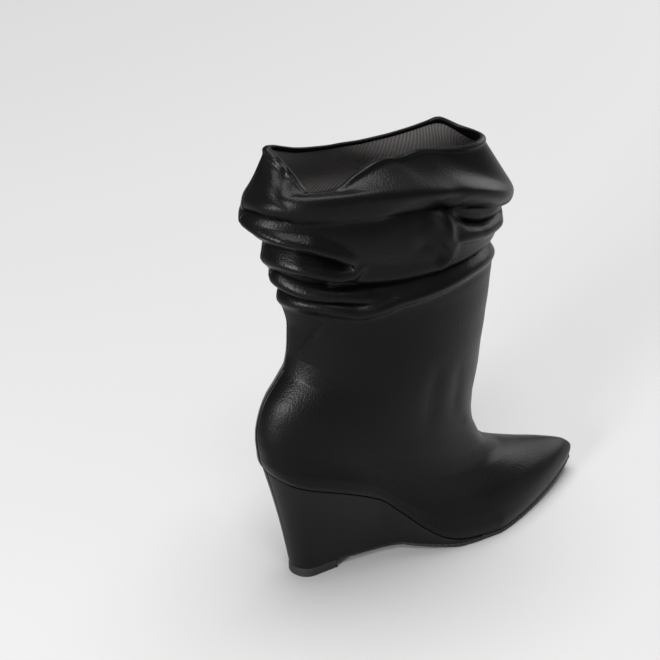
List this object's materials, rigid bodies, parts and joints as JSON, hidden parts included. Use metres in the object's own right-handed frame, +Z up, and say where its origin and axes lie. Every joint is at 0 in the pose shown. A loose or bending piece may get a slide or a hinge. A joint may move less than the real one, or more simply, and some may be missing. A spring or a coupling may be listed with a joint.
{
  "type": "wedge slouch boot",
  "caption": "Pointed women's ankle boot on a high covered wedge heel, with a soft slouched shaft, open collar, thin outsole and heel top piece.",
  "frame": {"origin": "centre of the underside of the heel's top piece, where the heel meets the floor", "axes": "+X forwards to the toe, +Y to the inner side of the foot, +Z up the shaft"},
  "size_m": [0.2677, 0.0947, 0.321],
  "materials": {
    "upper_leather": "satin",
    "wedge_leather": "satin",
    "outsole_rubber": "matte",
    "lift_rubber": "matte",
    "insole_sock": "matte"
  },
  "bodies": {
    "root": {"upper": "upper_leather", "wedge": "wedge_leather", "outsole": "outsole_rubber", "top_lift": "lift_rubber", "insole": "insole_sock"}
  },
  "joints": []
}
